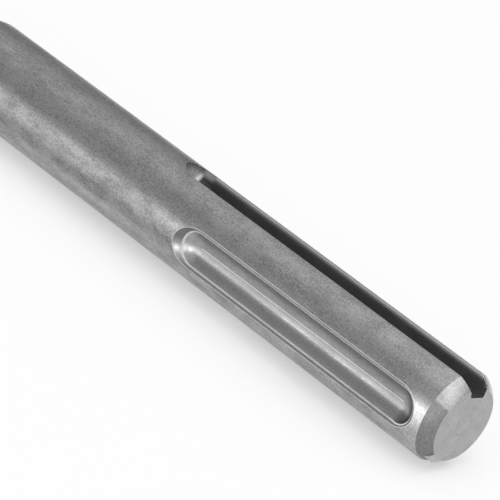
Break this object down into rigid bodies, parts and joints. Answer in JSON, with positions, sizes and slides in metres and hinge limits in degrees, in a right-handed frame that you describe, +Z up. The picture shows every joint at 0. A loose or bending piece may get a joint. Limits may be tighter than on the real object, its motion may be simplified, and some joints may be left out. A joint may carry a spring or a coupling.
{
  "type": "hammer drill bit",
  "caption": "Masonry drill bit: grooved round shank with locking recesses and open drive slots, rounded neck, right-hand helical flutes and a carbide plate brazed across the head.",
  "frame": {"origin": "centre of the flat end face of the shank, where the shank's mount starts", "axes": "+X along the axis from the shank's end face to the tip; +Z up as the bit lies, through the deep drive slot; +Y through one of the two locking recesses"},
  "size_m": [0.32, 0.02, 0.0186],
  "materials": {
    "steel": "fine blasted and tumbled grey steel, satin",
    "carbide": "ground dark grey carbide",
    "braze": "dull golden braze"
  },
  "bodies": {
    "root": {"drill_body": "steel", "carbide_plate": "carbide", "braze_seam": "braze"}
  },
  "joints": []
}
